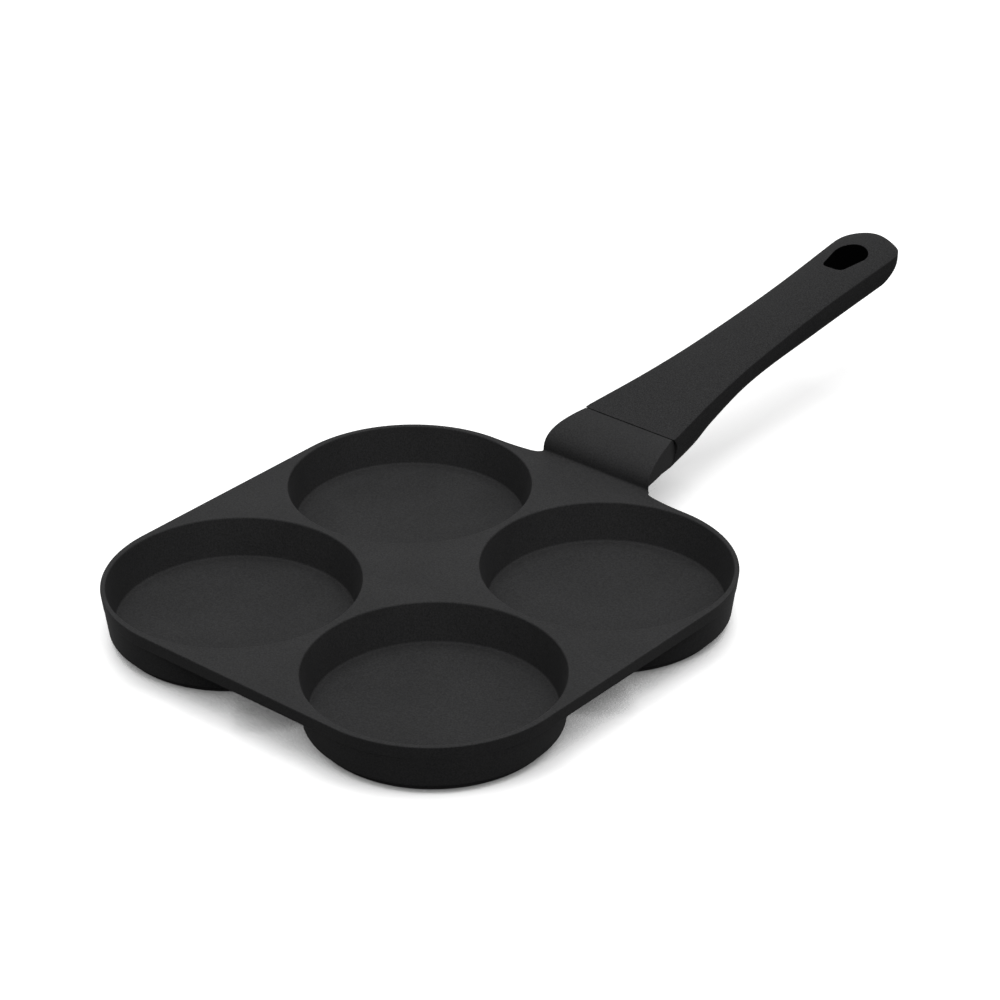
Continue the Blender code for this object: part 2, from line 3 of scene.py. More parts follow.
import bmesh
import bpy
from mathutils import Matrix, Vector


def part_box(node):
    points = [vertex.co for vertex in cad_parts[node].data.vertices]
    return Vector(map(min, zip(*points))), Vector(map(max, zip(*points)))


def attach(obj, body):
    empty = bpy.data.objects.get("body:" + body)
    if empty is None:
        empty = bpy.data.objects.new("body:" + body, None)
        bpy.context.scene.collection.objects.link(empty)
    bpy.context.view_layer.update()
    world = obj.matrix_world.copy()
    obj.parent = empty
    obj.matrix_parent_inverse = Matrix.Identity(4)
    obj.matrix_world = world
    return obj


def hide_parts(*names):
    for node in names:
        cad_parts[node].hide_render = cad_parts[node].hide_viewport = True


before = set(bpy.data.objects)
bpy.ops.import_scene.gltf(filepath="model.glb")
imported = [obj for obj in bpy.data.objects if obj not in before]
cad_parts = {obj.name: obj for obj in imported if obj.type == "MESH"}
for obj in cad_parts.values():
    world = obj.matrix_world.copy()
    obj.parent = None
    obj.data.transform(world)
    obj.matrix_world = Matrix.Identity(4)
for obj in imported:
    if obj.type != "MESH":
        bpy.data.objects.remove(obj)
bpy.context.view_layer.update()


# The deck: the flat top of the casting, a rounded square that joins the four cups.
# Die-cast aluminium, with a rounded upper edge, a drafted side and a softened lower edge.
# Its handle side flares out into the root of the neck.

# Lengths are in metres. Shapes are drawn round the middle of the cups, with heights
# measured from the deck's top, and each finished mesh is then moved into place.
body_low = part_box("pan_body")[0]
body_height = 0.0227
deck_half = 0.1085
deck_thickness = 0.0061
deck_round = 0.0004
cup_radius = 0.0520
corner_lip = 0.0051
neck_setback = 0.0045
root_half = 0.0289
root_fillet = 0.0046
flare_height = 0.0015
outer_deg = 7.3
outer_draft = math.tan(math.radians(outer_deg))
pan_y = body_low[1] + deck_half
deck_z = body_low[2] + body_height
in_place = Matrix.Translation((0, pan_y, deck_z))


def arc(centre, radius, start_deg, end_deg, count):
    """Points on an arc in a plane, both ends included."""
    points = []
    for i in range(count + 1):
        angle = math.radians(start_deg + (end_deg - start_deg) * i / count)
        points.append((centre[0] + radius * math.cos(angle), centre[1] + radius * math.sin(angle)))
    return points


def sweep(start, lead, trail, end, count):
    """Points on a cubic curve, both ends included."""
    points = []
    for i in range(count + 1):
        t = i / count
        s = 1 - t
        weights = (s**3, 3 * s * s * t, 3 * s * t * t, t**3)
        points.append(tuple(
            sum(w * p[axis] for w, p in zip(weights, (start, lead, trail, end)))
            for axis in (0, 1)
        ))
    return points


def both_sides(points):
    """A right-hand outline and its mirror image in one loop."""
    return points + [(-x, y) for x, y in reversed(points) if abs(x) > 1e-9]


def drawn_in(outline, distance):
    """An outline moved inwards by the same distance everywhere."""
    moved = []
    for i, here in enumerate(outline):
        before = (Vector(here) - Vector(outline[i - 1])).normalized()
        after = (Vector(outline[(i + 1) % len(outline)]) - Vector(here)).normalized()
        left_of_before = Vector((-before.y, before.x))
        inward = (left_of_before + Vector((-after.y, after.x))).normalized()
        reach = distance / inward.dot(left_of_before)
        moved.append((here[0] + inward.x * reach, here[1] + inward.y * reach))
    return moved


def skin(name, rings):
    """A closed skin over rings of equal length, as a new object."""
    build = bmesh.new()
    rows = [[build.verts.new(point) for point in ring] for ring in rings]
    for near, far in zip(rows, rows[1:]):
        for i in range(len(near)):
            j = (i + 1) % len(near)
            build.faces.new((near[i], near[j], far[j], far[i]))
    build.faces.new(list(reversed(rows[0])))
    build.faces.new(rows[-1])
    bmesh.ops.remove_doubles(build, verts=build.verts, dist=1e-7)
    bmesh.ops.recalc_face_normals(build, faces=build.faces)
    mesh = bpy.data.meshes.new(name)
    build.to_mesh(mesh)
    build.free()
    mesh.shade_smooth()
    piece = bpy.data.objects.new(name, mesh)
    bpy.context.scene.collection.objects.link(piece)
    return piece


corner_radius = cup_radius + corner_lip
corner_at = deck_half - corner_radius
crease_y = deck_half + neck_setback
meet = (root_half + root_fillet, deck_half + flare_height)
near_corner = arc((corner_at, -corner_at), corner_radius, -90, 0, 40)
far_corner = arc((corner_at, corner_at), corner_radius, 0, 90, 40)
flare = sweep((corner_at, deck_half), (corner_at - 0.0073, deck_half),
              (meet[0] + 0.0046, deck_half + 0.0007), meet, 14)
into_root = sweep(meet, (meet[0] - 0.0025, meet[1] + 0.0006),
                  (root_half + 0.0007, crease_y - 0.0020), (root_half, crease_y + 0.0003), 12)
deck_outline = both_sides(near_corner + far_corner + flare[1:] + into_root[1:])

# Each level is how far the outline is drawn in, and its height. The last three are the
# softened lower edge, as (drafted height, softening, height above the underside).
deck_levels = [(deck_round - x, z - deck_round) for x, z in arc((0, 0), deck_round, 90, 0, 4)]
for drafted, soft, above in ((0.0050, 0, 0.0005), (0.0053, 0.0002, 0.0001), (0.0053, 0.0006, 0)):
    deck_levels.append((outer_draft * drafted + soft, above - deck_thickness))
casting = skin("pan_casting", [
    [(x, y, z) for x, y in drawn_in(deck_outline, inwards)] for inwards, z in deck_levels
])


# The neck: a low arch of the same casting that rises from the deck and carries the handle.
# Its sides are upright and flat with crisp edges, its underside is chamfered to a keel, and
# it ends in a rounded nose with a tongue behind it, which the grip slides on.
neck_length = 0.0226
neck_end_half = 0.02375
neck_end_z = 0.01365
neck_round = 0.0004
crease_round = 0.0010
arch_lead = 0.01356
side_low = 0.0020
side_fall = 0.0002
keel_chamfer = 0.0075
keel_z = -0.0053
rise = math.radians(6.6)
nose_radius = 0.0072
nose_z = 0.0077
nose_top_deg = 57
nose_low_deg = -78
tongue_half = 0.0120
tongue_end_half = 0.01125
tongue_half_height = 0.0032
tongue_length = 0.0340

# The neck is first made longer than its tip by the overrun, then cut to the nose's round.
# The forms that cut it and the grip reach well past them.
overrun = 0.001
past = 0.04
seam_y = crease_y + neck_length
nose_y = seam_y - math.sqrt(nose_radius**2 - (neck_end_z - nose_z)**2)
tip_y = nose_y + nose_radius
along_handle = Matrix.Translation((0, nose_y, nose_z)) @ Matrix.Rotation(rise, 4, "X")


def pierce(target, operation, tool):
    """An exact Boolean with a piece that goes when the target is finished."""
    step = target.modifiers.new(operation.lower(), "BOOLEAN")
    step.operation = operation
    step.solver = "EXACT"
    step.object = tool
    return tool


def finished(piece, tools, sharp_deg=32):
    """Turn a piece with its modifiers into one plain mesh with even shading."""
    for turn in ("shape", "normals"):
        if turn == "normals":
            piece.data.shade_smooth()
            piece.data.set_sharp_from_angle(angle=math.radians(sharp_deg))
            weigh = piece.modifiers.new("even_shading", "WEIGHTED_NORMAL")
            weigh.keep_sharp = True
            weigh.weight = 90
        depsgraph = bpy.context.evaluated_depsgraph_get()
        mesh = bpy.data.meshes.new_from_object(
            piece.evaluated_get(depsgraph), preserve_all_data_layers=True, depsgraph=depsgraph)
        piece.modifiers.clear()
        piece.data = mesh
    for tool in tools:
        bpy.data.objects.remove(tool, do_unlink=True)
    return piece


def side_prism(name, outline, half_width):
    """An outline in the YZ plane, drawn out to both sides."""
    return skin(name, [[(x, y, z) for y, z in outline] for x in (-half_width, half_width)])


crease = arc((crease_y - crease_round, crease_round), crease_round, -72, 0, 5)
climb = sweep(
    (crease_y, crease_round), (crease_y, 0.0096),
    (seam_y - arch_lead, neck_end_z - arch_lead * math.tan(rise)), (seam_y, neck_end_z), 28)
sunk_in_deck = (crease[0][0] - 0.0012, -0.0004)
past_tip = (tip_y + overrun, neck_end_z + (tip_y + overrun - seam_y) * math.tan(rise))
arch = [sunk_in_deck] + crease + climb[1:] + [past_tip]
neck_sides = sweep((crease_y, root_half - 0.0001), (crease_y + 0.0045, root_half - 0.0016),
                   (seam_y - 0.0079, neck_end_half + 0.0020), (seam_y, neck_end_half), 16)


def neck_half(ahead):
    """Half width of the neck, at a share of the way from the crease to the seam."""
    spot = ahead * (len(neck_sides) - 1)
    first = min(int(spot), len(neck_sides) - 2)
    near, far = neck_sides[first][1], neck_sides[first + 1][1]
    return near + (far - near) * (spot - first)


def neck_ring(y, top):
    """One section of the neck: flat top, rounded edge, upright side and chamfer to the keel."""
    ahead = min(max((y - crease_y) / (seam_y - crease_y), 0), 1.3)
    half = neck_half(ahead)
    low = min(side_low - side_fall * ahead, top - 3 * neck_round)
    keel_half = half - keel_chamfer
    right = [(half - 0.0060, top)]
    right += arc((half - neck_round, top - neck_round), neck_round, 90, 0, 4)
    right += [(half, low + neck_round), (half - 0.0002, low - 0.0001)]
    right += [(keel_half + 0.0003, keel_z + 0.0001), (keel_half - 0.0002, keel_z)]
    return [(x, y, z) for x, z in right] + [(-x, y, z) for x, z in reversed(right)]


neck = skin("neck", [neck_ring(y, top) for y, top in arch])
nose = arc((nose_y, nose_z), nose_radius, nose_top_deg, nose_low_deg, 24)
behind_crease = crease_y - 0.0030
nose_form = side_prism("nose_form", [
    (behind_crease, -past), (behind_crease, past), (nose[0][0], past),
] + nose + [(nose_y, keel_z), (nose_y, -past)], past)
neck_tools = [pierce(neck, "INTERSECT", nose_form)]


def tongue_block(name, grow, length):
    """The tongue in the handle's own direction, or the socket for it."""
    thick = tongue_half_height + grow
    rings = []
    for y, half in ((-nose_radius / 2, tongue_half + grow), (length, tongue_end_half + grow)):
        rings.append([along_handle @ Vector(corner) for corner in (
            (-half, y, -thick), (half, y, -thick), (half, y, thick), (-half, y, thick))])
    return skin(name, rings)


neck_tools.append(pierce(neck, "UNION", tongue_block("tongue", 0, tongue_length)))


# The cups: four drafted round wells of the same casting, with a rounded rim and a fillet at
# the flat cooking floor. Underneath, each wall ends above a narrower foot that holds the
# steel disc. The casting is joined up here, and its tongue is bored for the handle's screw.
half_pitch = 0.0536
cup_depth = 0.0172
cup_wall = 0.00195
rim_round = 0.0007
floor_fillet = 0.0011
floor_ring = 0.030
wall_edge_round = 0.0009
foot_height = 0.0036
foot_inset = 0.0033
foot_fillet = 0.0006
foot_round = 0.0005
seat_radius = 0.0433
seat_depth = 0.0009
joined_below = 0.0012
lid = 0.0006
cup_steps = 112
hole_steps = 48
screw_at = 0.0200
bore_radius = 0.0028
inner_deg = 9.9
inner_draft = math.tan(math.radians(inner_deg))
inner_cos = math.cos(math.radians(inner_deg))
outer_cos = math.cos(math.radians(outer_deg))

rim_at = (cup_radius - inner_draft * rim_round + rim_round / inner_cos, -rim_round)
rim_curve = arc(rim_at, rim_round, 90, 180 - inner_deg, 7)
fillet_z = floor_fillet - cup_depth
fillet_at = (cup_radius + inner_draft * fillet_z - floor_fillet / inner_cos, fillet_z)
mouth = (rim_curve[0][0] + 2 * lid, lid / 2)
well_profile = (
    [(0, lid), (mouth[0], lid), mouth] + rim_curve[1:]
    + arc(fillet_at, floor_fillet, -inner_deg, -90, 7)
    + [(floor_ring, -cup_depth), (0, -cup_depth)]
)
wall_radius = cup_radius + cup_wall
wall_low = foot_height - body_height
edge_z = wall_low + wall_edge_round
edge_at = (wall_radius + outer_draft * edge_z - wall_edge_round / outer_cos, edge_z)
foot_radius = wall_radius + outer_draft * wall_low - foot_inset
seat_top = seat_depth - body_height
wall_profile = (
    [(0, -joined_below), (wall_radius - outer_draft * joined_below, -joined_below)]
    + arc(edge_at, wall_edge_round, -outer_deg, -90, 6)
    + arc((foot_radius + foot_fillet, wall_low - foot_fillet), foot_fillet, 90, 180, 4)
    + arc((foot_radius - foot_round, foot_round - body_height), foot_round, 0, -90, 4)
    + [(seat_radius, -body_height), (seat_radius, seat_top), (0, seat_top)]
)


def repeated_on_cups():
    """A node tree that stands the incoming piece at the middle of each cup."""
    tree = bpy.data.node_groups.new("one_for_each_cup", "GeometryNodeTree")
    tree.interface.new_socket("Piece", in_out="INPUT", socket_type="NodeSocketGeometry")
    tree.interface.new_socket("Cup spacing", in_out="INPUT", socket_type="NodeSocketFloat")
    tree.interface.new_socket("Finish", in_out="INPUT", socket_type="NodeSocketMaterial")
    tree.interface.new_socket("Pieces", in_out="OUTPUT", socket_type="NodeSocketGeometry")
    given = tree.nodes.new("NodeGroupInput")
    result = tree.nodes.new("NodeGroupOutput")
    middles = tree.nodes.new("GeometryNodeMeshGrid")
    middles.inputs["Vertices X"].default_value = 2
    middles.inputs["Vertices Y"].default_value = 2
    stood = tree.nodes.new("GeometryNodeInstanceOnPoints")
    real = tree.nodes.new("GeometryNodeRealizeInstances")
    finish = tree.nodes.new("GeometryNodeSetMaterial")
    tree.links.new(given.outputs["Cup spacing"], middles.inputs["Size X"])
    tree.links.new(given.outputs["Cup spacing"], middles.inputs["Size Y"])
    tree.links.new(middles.outputs["Mesh"], stood.inputs["Points"])
    tree.links.new(given.outputs["Piece"], stood.inputs["Instance"])
    tree.links.new(stood.outputs["Instances"], real.inputs["Geometry"])
    tree.links.new(real.outputs["Geometry"], finish.inputs["Geometry"])
    tree.links.new(given.outputs["Finish"], finish.inputs["Material"])
    tree.links.new(finish.outputs["Geometry"], result.inputs["Pieces"])
    return tree


cup_tree = repeated_on_cups()


def set_input(modifier, name, value):
    """Give a node tree's named input its value on one modifier."""
    modifier[modifier.node_group.interface.items_tree[name].identifier] = value


def on_each_cup(piece, finish=None):
    """Repeat a turned piece on the four cups."""
    spread = piece.modifiers.new("four_cups", "NODES")
    spread.node_group = cup_tree
    set_input(spread, "Cup spacing", 2 * half_pitch)
    set_input(spread, "Finish", finish)
    return piece


def turned(name, profile, steps):
    """A profile of (radius, height) points turned round the upright axis."""
    mesh = bpy.data.meshes.new(name)
    edges = [(i, i + 1) for i in range(len(profile) - 1)]
    mesh.from_pydata([(radius, 0, z) for radius, z in profile], edges, [])
    piece = bpy.data.objects.new(name, mesh)
    bpy.context.scene.collection.objects.link(piece)
    lathe = piece.modifiers.new("lathe", "SCREW")
    lathe.steps = steps
    lathe.render_steps = steps
    lathe.use_merge_vertices = True
    lathe.merge_threshold = 0.000001
    lathe.use_smooth_shade = True
    return piece


on_screw_axis = along_handle @ Matrix.Translation((0, screw_at, 0))
tapped_hole = turned("tapped_hole", [
    (0, 2 * tongue_half_height), (bore_radius, 2 * tongue_half_height),
    (bore_radius, -2 * tongue_half_height), (0, -2 * tongue_half_height),
], hole_steps)
tapped_hole.matrix_world = on_screw_axis
casting_tools = [
    pierce(casting, "UNION", finished(neck, neck_tools)),
    pierce(casting, "UNION", on_each_cup(turned("cup_walls", wall_profile, cup_steps))),
    pierce(casting, "DIFFERENCE", on_each_cup(turned("cup_wells", well_profile, cup_steps))),
    pierce(casting, "DIFFERENCE", tapped_hole),
]
bpy.context.view_layer.update()
finished(casting, casting_tools)
casting.data.transform(in_place)


def wired(tree, kind, values, **settings):
    """Add a node; its inputs are given as values or as other nodes' outputs."""
    node = tree.nodes.new(kind)
    for name, value in settings.items():
        setattr(node, name, value)
    for name, value in values.items():
        if isinstance(value, bpy.types.NodeSocket):
            tree.links.new(value, node.inputs[name])
        else:
            node.inputs[name].default_value = value
    return node


def new_finish(name, roughness, metallic=0.0, specular=0.5):
    """A Principled material, with the surface's own position ready for its patterns."""
    finish = bpy.data.materials.new(name)
    finish.use_nodes = True
    tree = finish.node_tree
    shader = tree.nodes["Principled BSDF"]
    shader.inputs["Roughness"].default_value = roughness
    shader.inputs["Metallic"].default_value = metallic
    shader.inputs["Specular IOR Level"].default_value = specular
    place = tree.nodes.new("ShaderNodeTexCoord").outputs["Object"]
    return finish, tree, shader, place


def mottled(tree, place, scale, detail, roughness=0.5):
    """Cloudy noise over the surface."""
    return wired(tree, "ShaderNodeTexNoise", {
        "Vector": place, "Scale": scale, "Detail": detail, "Roughness": roughness,
    }).outputs["Fac"]


def ranged(tree, value, low, high, start=0.0, end=1.0, curve="LINEAR"):
    """A value between start and end, carried over to between low and high."""
    return wired(tree, "ShaderNodeMapRange", {
        "Value": value, "From Min": start, "From Max": end, "To Min": low, "To Max": high,
    }, interpolation_type=curve).outputs["Result"]


def two_tone(tree, share, dark, light):
    """A colour that runs from dark to light with the share."""
    return wired(tree, "ShaderNodeMix", {
        "Factor": share, "A": (*dark, 1), "B": (*light, 1),
    }, data_type="RGBA").outputs["Result"]


def surfaced(tree, shader, colour, roughness, height, strength, depth):
    """Give the shader its colour, its roughness and the fine relief of its surface."""
    relief = wired(tree, "ShaderNodeBump", {
        "Height": height, "Strength": strength, "Distance": depth,
    })
    tree.links.new(colour, shader.inputs["Base Color"])
    tree.links.new(roughness, shader.inputs["Roughness"])
    tree.links.new(relief.outputs["Normal"], shader.inputs["Normal"])


# Non-stick coating on the whole casting: charcoal, matt, sprayed in fine overlapping drops.
coating, tree, shader, place = new_finish("charcoal_non_stick", 0.60, specular=0.05)
drops = mottled(tree, place, 1500.0, 3.0, 0.6)
drift = mottled(tree, place, 38.0, 3.0)
cloud = ranged(tree, drift, 0.94, 1.06, 0.35, 0.65)
speckle = two_tone(tree, ranged(tree, drops, 0.0, 1.0, 0.30, 0.70),
                   (0.0190, 0.0190, 0.0194), (0.0355, 0.0355, 0.0362))
shade = wired(tree, "ShaderNodeVectorMath", {0: speckle, "Scale": cloud}, operation="SCALE")
surfaced(tree, shader, shade.outputs["Vector"], ranged(tree, drops, 0.52, 0.68),
         drops, 0.35, 0.00006)
casting.data.materials.clear()
casting.data.materials.append(coating)
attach(casting, "root")
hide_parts("pan_body")


# The grip: one moulding of heat-proof plastic that slides over the tongue.
# It is deep and broad at the seam, narrows to a waist, and ends in a flat rounded tail with
# a hang hole. Its top is crowned between crisp side edges, and its belly is full.

# Each station is a distance from the tip of the nose, and the measure there.
width_stations = (
    (0, 0.0242), (0.0332, 0.01945), (0.0665, 0.0165), (0.1200, 0.0150), (0.1710, 0.0162))
depth_stations = (
    (0, 0.0208), (0.0205, 0.0204), (0.0332, 0.0174), (0.0665, 0.0133),
    (0.1200, 0.0151), (0.1710, 0.0153))
crown_stations = (
    (0, 0), (0.0205, 0.0014), (0.0332, 0.0019), (0.0665, 0.0028),
    (0.1200, 0.0031), (0.1710, 0.0035))
grip_length = 0.1856
edge_height = 0.0136
side_round = 0.00075
below_edge = 0.18
belly_power = 3.3
end_plan_power = 2.8
end_top_power = 5.0
end_belly_power = 1.4
section_points = 96
grip_start = -0.0144
grip_steps = 76
end_steps = 28
end_turn_deg = 89.2
gap = 0.0003
seam_low = -0.030
tail = 0.0162
straight = grip_length - tail


def faired(stations, at):
    """A smooth curve through (place, value) stations, level before the first."""
    if at <= stations[0][0]:
        return stations[0][1]
    slopes = []
    for i in range(len(stations)):
        low, high = stations[max(i - 1, 0)], stations[min(i + 1, len(stations) - 1)]
        slopes.append((high[1] - low[1]) / (high[0] - low[0]))
    if at >= stations[-1][0]:
        return stations[-1][1] + slopes[-1] * (at - stations[-1][0])
    i = max(k for k in range(len(stations) - 1) if at >= stations[k][0])
    span = stations[i + 1][0] - stations[i][0]
    t = (at - stations[i][0]) / span
    return ((1 + 2 * t) * (1 - t)**2 * stations[i][1] + t * (1 - t)**2 * span * slopes[i]
            + t * t * (3 - 2 * t) * stations[i + 1][1] - t * t * (1 - t) * span * slopes[i + 1])


def end_left(along, power):
    """What the rounding of the tail leaves of a measure at one place."""
    beyond = min(max((along - straight) / tail, 0), 0.9999)
    return (1 - beyond**power)**(1 / power)


def half_width(along):
    """Half width of the grip at one place."""
    return faired(width_stations, along) * end_left(along, end_plan_power)


def grip_level(share, along, upper):
    """Height of the grip's top or belly, at a share of its half width."""
    depth = faired(depth_stations, along)
    below = depth * below_edge
    if upper:
        crown = faired(crown_stations, along) * (1 - share * share)
        level = below + side_round * (1 - share**4)**0.25 + crown
        level *= end_left(along, end_top_power)
    else:
        level = below - depth * (1 - abs(share)**belly_power)**(1 / belly_power)
        level *= end_left(along, end_top_power if level > 0 else end_belly_power)
    return edge_height + math.tan(rise) * along - below + level


def grip_ring(along):
    """One section of the grip, from its right side edge over the crown and round the belly."""
    ring = []
    for i in range(section_points):
        share = math.cos(2 * math.pi * (i + 0.5) / section_points)
        upper = i < section_points // 2
        if not upper:
            share = math.copysign(abs(share)**(2 / belly_power), share)
        ring.append((share * half_width(along), tip_y + along, grip_level(share, along, upper)))
    return ring


grip_rings = [grip_ring(grip_start + (straight - grip_start) * i / grip_steps)
              for i in range(grip_steps)]
grip_rings += [grip_ring(straight + tail * math.sin(math.radians(end_turn_deg) * i / end_steps))
               for i in range(end_steps + 1)]
grip = skin("grip", grip_rings)
nose_gap = arc((nose_y, nose_z), nose_radius + gap, nose_top_deg, nose_low_deg, 28)
seam_form = side_prism("seam", [
    (nose_y - past, seam_low), (nose_y - past, past), (nose_gap[0][0], past),
] + nose_gap + [(nose_y + gap, seam_low)], past)
grip_tools = [
    pierce(grip, "DIFFERENCE", seam_form),
    pierce(grip, "DIFFERENCE", tongue_block("socket", gap, tongue_length + gap)),
]


# The hang hole: a round far end drawn in to a blunter near end, moulded right through.
# Its mouth on either face is eased with a small round.
hole_length = 0.0240
hole_far = 0.0082
hole_near_half = 0.0059
hole_corner = 0.0039
tail_wall = 0.0149
ease = 0.0005
ease_step_deg = 15
tip_z = (edge_height + math.tan(rise) * grip_length
         - depth_stations[-1][1] * below_edge - nose_z)
end_along = (tip_y + grip_length - nose_y) * math.cos(rise) + tip_z * math.sin(rise)
hole_start = end_along - tail_wall - hole_length
far_at = Vector((0, hole_length - hole_far))
near_at = Vector((hole_near_half - hole_corner, hole_corner))
run = near_at - far_at
tangent = math.degrees(
    math.atan2(run.y, run.x) + math.acos((hole_far - hole_corner) / run.length))
hole_outline = both_sides(
    arc(near_at, hole_corner, -90, tangent, 12) + arc(far_at, hole_far, tangent, 90, 24))


def hole_ring(upper, step):
    """The hole's outline at one step of its eased mouth; steps below 0 stand off the face."""
    turn = math.radians(ease_step_deg * max(step, 0))
    out = ease * (1 - math.sin(turn)) + (0.0006 if step < 0 else 0)
    drop = ease * (1 - math.cos(turn)) - (0, 0.0003, 0.0040)[max(-step, 0)]
    ring = []
    for x, y in drawn_in(hole_outline, -out):
        spot = along_handle @ Vector((x, hole_start + y, 0))
        share = min(abs(x) / half_width(spot.y - tip_y), 0.98)
        face = grip_level(share, spot.y - tip_y, upper)
        lift = (face - spot.z) / math.cos(rise) + (-drop if upper else drop)
        ring.append(along_handle @ Vector((x, hole_start + y, lift)))
    return ring


hole_rings = [hole_ring(False, step) for step in range(-2, 7)]
hole_rings += [hole_ring(True, step) for step in range(6, -3, -1)]
grip_tools.append(pierce(grip, "DIFFERENCE", skin("hang_hole_form", hole_rings)))


# The screw's seat: a round recess in the belly that takes the washers and the head, with a
# bore on into the socket.
seat_wall = 0.0030
recess_radius = 0.0053
bore_top = 0.001
seat = -tongue_half_height - gap - seat_wall
recess = turned("screw_recess", [
    (0, bore_top), (bore_radius, bore_top), (bore_radius, seat),
    (recess_radius, seat), (recess_radius, -past), (0, -past),
], hole_steps)
recess.matrix_world = on_screw_axis
grip_tools.append(pierce(grip, "DIFFERENCE", recess))
bpy.context.view_layer.update()
finished(grip, grip_tools, 40)
grip.data.transform(in_place)


def moulded(name, dark, light, specular):
    """Plastic with the fine, dry texture of a spark-eroded mould."""
    plastic, tree, shader, place = new_finish(name, 0.62, specular=specular)
    texture = mottled(tree, place, 1900.0, 2.0, 0.55)
    handled = mottled(tree, place, 30.0, 2.0)
    speckle = two_tone(tree, ranged(tree, texture, 0.0, 1.0, 0.3, 0.7),
                       (dark, dark, dark * 1.02), (light, light, light * 1.02))
    surfaced(tree, shader, speckle, ranged(tree, handled, 0.55, 0.69), texture, 0.35, 0.00005)
    return plastic


# Charcoal outside, and near black on the wall of the hang hole: painted shade, a dark finish
# standing in for the unlit hole. That wall is found by its place, and by its normals, which lie
# across the hole.
for finish in (moulded("charcoal_grip", 0.0185, 0.0410, 0.015),
               # This second finish is painted shade for the inside of the hang hole.
               moulded("hang_hole_painted_shade", 0.0010, 0.0026, 0.005)):
    grip.data.materials.append(finish)
margin = 0.0002
hole_middle = hole_start + hole_length / 2
to_hole = (in_place @ along_handle @ Matrix.Translation((0, hole_middle, 0))).inverted()
for face in grip.data.polygons:
    spot = to_hole @ face.center
    upright = (to_hole.to_3x3() @ face.normal).z
    in_hole = abs(spot.x) < hole_far + margin and abs(spot.y) < hole_length / 2 + margin
    # Faces on the hole's wall get the painted shade.
    face.material_index = 1 if in_hole and abs(upright) < 0.35 else 0
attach(grip, "root")
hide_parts("handle_grip")


# The discs: four flat rounds of magnetic steel, let into the feet so that an induction hob
# finds the pan. They stand a little proud, with a small bevel and fine turning marks.
disc_radius = 0.0430
disc_thickness = 0.0008
disc_proud = 0.0002
disc_corner = 0.0003
disc_steps = 96
disc_face = -body_height - disc_proud
disc_profile = [(0, disc_face + disc_thickness), (disc_radius, disc_face + disc_thickness)]
disc_profile += arc((disc_radius - disc_corner, disc_face + disc_corner), disc_corner, 0, -90, 4)
disc_profile.append((0, disc_face))

# The marks run round each disc: the pattern reads the distance from the nearest disc's middle.
steel, tree, shader, place = new_finish("turned_steel", 0.36, metallic=1.0)
from_middle = place
for operation, by in (("ADD", (0, -pan_y, 0)), ("ABSOLUTE", None),
                      ("SUBTRACT", (half_pitch, half_pitch, 0)), ("MULTIPLY", (1, 1, 0))):
    values = {0: from_middle} if by is None else {0: from_middle, 1: by}
    from_middle = wired(tree, "ShaderNodeVectorMath", values, operation=operation).outputs["Vector"]
radius = wired(tree, "ShaderNodeVectorMath", {0: from_middle}, operation="LENGTH")
marks = wired(tree, "ShaderNodeTexNoise", {
    "W": radius.outputs["Value"], "Scale": 2400.0, "Detail": 2.0,
}, noise_dimensions="1D").outputs["Fac"]
bloom = two_tone(tree, mottled(tree, place, 90.0, 3.0), (0.50, 0.50, 0.485), (0.60, 0.60, 0.595))
surfaced(tree, shader, bloom, ranged(tree, marks, 0.28, 0.46), marks, 0.4, 0.00003)
discs = finished(
    on_each_cup(turned("induction_discs", disc_profile, disc_steps), steel), [])
discs.data.transform(in_place)
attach(discs, "root")
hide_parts("induction_disc_front_left", "induction_disc_front_right",
            "induction_disc_rear_left", "induction_disc_rear_right")


# The screw: a zinc-plated pan head with a cross recess, sunk in the grip's belly, which
# holds the grip on the tongue over a spring washer and a flat washer. The washers keep
# their own shape and get the same plating.
shank_radius = 0.0025
shank_length = 0.0120
point_chamfer = 0.0007
head_radius = 0.0046
head_height = 0.0030
head_crown = 0.0014
flat_washer_thickness = 0.0010
spring_washer_thickness = 0.0012
screw_steps = 64
slot_half = 0.00055
slot_reach = 0.0024
slot_depth = 0.0019
head_top = seat - flat_washer_thickness - spring_washer_thickness - 3 * gap
head_face = head_top - head_height
screw_end = head_top + shank_length
screw_profile = [
    (0, screw_end), (shank_radius - point_chamfer, screw_end),
    (shank_radius, screw_end - point_chamfer), (shank_radius, head_top),
    (head_radius, head_top), (head_radius, head_face + head_crown),
]
screw_profile += arc((0.0024, head_face + 0.0016), 0.0022, -6, -44, 5)
screw_profile += [(0.0030, head_face + 0.0001), (0.0025, head_face), (0, head_face)]
screw = turned("handle_screw_form", screw_profile, screw_steps)
cross = []
for quarter in range(4):
    c, s = math.cos(math.pi / 2 * quarter), math.sin(math.pi / 2 * quarter)
    for x, y in ((slot_half, slot_half), (slot_half, slot_reach), (-slot_half, slot_reach)):
        cross.append((x * c - y * s, x * s + y * c))
recess_form = skin("cross_recess", [
    [(x * size, y * size, z) for x, y in cross]
    for size, z in ((1.1, head_face - 0.0005), (1.0, head_face), (0.5, head_face + slot_depth))
])
finished(screw, [pierce(screw, "DIFFERENCE", recess_form)], 35)
screw.data.transform(in_place @ on_screw_axis)

zinc, tree, shader, place = new_finish("zinc_plate", 0.34, metallic=1.0)
haze = mottled(tree, place, 420.0, 3.0)
plating = two_tone(tree, haze, (0.58, 0.60, 0.63), (0.66, 0.66, 0.65))
surfaced(tree, shader, plating, ranged(tree, haze, 0.26, 0.42), haze, 0.2, 0.00003)
screw.data.materials.append(zinc)
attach(screw, "root")
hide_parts("handle_screw")
for washer in ("flat_washer", "spring_washer"):
    bpy.data.objects[washer].material_slots[0].material = zinc


